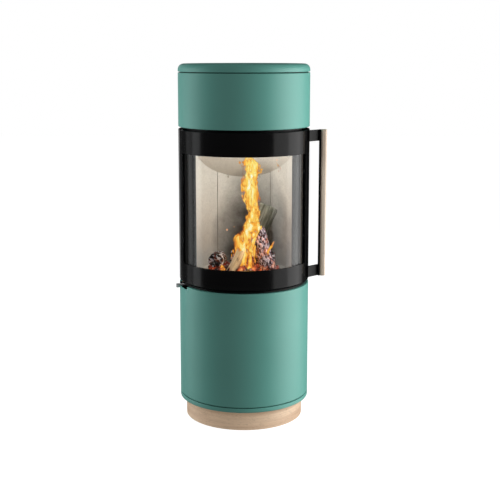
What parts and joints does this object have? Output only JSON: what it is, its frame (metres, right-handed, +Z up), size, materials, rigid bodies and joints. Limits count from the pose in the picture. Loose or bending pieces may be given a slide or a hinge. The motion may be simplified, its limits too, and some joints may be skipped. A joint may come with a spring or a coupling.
{
  "type": "wood burning stove",
  "caption": "Round wood burning stove: painted casings, curved glass door with a long wooden grip, lined firebox, air lever, rear flue spigot and a wooden plinth.",
  "frame": {"origin": "on the stove's vertical axis, in the face of the base plate that rests on the floor", "axes": "+Z up, the door faces -Y, the handle is towards +X and the flue leaves towards +Y"},
  "size_m": [0.5186, 0.495, 1.228],
  "materials": {
    "painted_casing": "satin, sea green",
    "black_steel": "satin black stove paint",
    "plinth_wood": "pale oiled beech",
    "grip_wood": "pale oiled beech",
    "galvanised": "galvanised sheet",
    "bright_steel": "polished",
    "cast_iron": "matt, sooty",
    "lining": "pressed vermiculite, matt",
    "bearing_brass": "turned",
    "door_glass": "clear ceramic glass",
    "rope_seal": "woven glass rope",
    "log_wood": "split log, bark and grain",
    "charred_wood": "charred, ash in the cracks",
    "embers": "glowing",
    "flame": "glowing"
  },
  "bodies": {
    "stove": {"base_ring": "painted_casing", "lower_casing": "painted_casing", "upper_casing": "painted_casing", "top_plate": "painted_casing", "chassis_floor": "black_steel", "chassis_posts": "black_steel", "firebox_floor": "black_steel", "firebox_shell": "black_steel", "firebox_top": "black_steel", "front_frame": "black_steel", "baffle_bar": "black_steel", "flue_spigot": "black_steel", "middle_casing": "black_steel", "collar_ring": "black_steel", "lid_seat_ring": "black_steel", "casing_screws": "black_steel", "hinge_tabs": "black_steel", "catch_brackets": "black_steel", "plinth_ring": "plinth_wood", "base_plate": "galvanised", "plinth_posts": "galvanised", "air_inlet_spigot": "galvanised", "air_duct": "galvanised", "air_box": "galvanised", "valve_seat": "galvanised", "ash_box": "galvanised", "ash_pan": "galvanised", "rear_heat_shield": "galvanised", "levelling_screws": "bright_steel", "ash_pan_handle": "bright_steel", "baffle_pins": "bright_steel", "hinge_pins": "bright_steel", "grate": "cast_iron", "log_retainer": "cast_iron", "hearth_lining": "lining", "back_lining": "lining", "left_lining": "lining", "right_lining": "lining", "baffle_plate": "lining", "hinge_washers": "bearing_brass"},
    "door": {"door_upper_rail": "black_steel", "door_lower_rail": "black_steel", "door_stiles": "black_steel", "door_glass": "door_glass", "seal_carrier": "black_steel", "door_gasket": "rope_seal", "glass_clips": "bright_steel", "hinge_bushes": "bearing_brass", "latch_tongues": "bright_steel", "upper_handle_bracket": "black_steel", "lower_handle_bracket": "black_steel", "handle_bar": "black_steel", "handle_grip": "grip_wood", "handle_screws": "bright_steel"},
    "air_control": {"valve_ring": "galvanised", "air_lever": "bright_steel", "lever_knob": "bright_steel"},
    "rollers": {"catch_rollers": "bright_steel"},
    "cover": {"top_cover": "painted_casing"}
  },
  "joints": [
    {"name": "door_hinge", "type": "hinge", "parent": "stove", "child": "door", "pos_m": [-0.20455, -0.07244, 0.7485], "axis": [0, 0, -1], "range_deg": [0, 110]},
    {"name": "air_lever_turn", "type": "hinge", "parent": "stove", "child": "air_control", "pos_m": [0, 0, 0.4675], "axis": [0, 0, 1], "range_deg": [0, 16]},
    {"name": "catch_roll", "type": "hinge", "parent": "stove", "child": "rollers", "pos_m": [0.20626, -0.04996, 0.75], "axis": [0, 0, 1], "continuous": true},
    {"name": "top_cover_lift", "type": "slide", "parent": "stove", "child": "cover", "axis": [0, 0, 1], "range_m": [0, 0.06]}
  ]
}
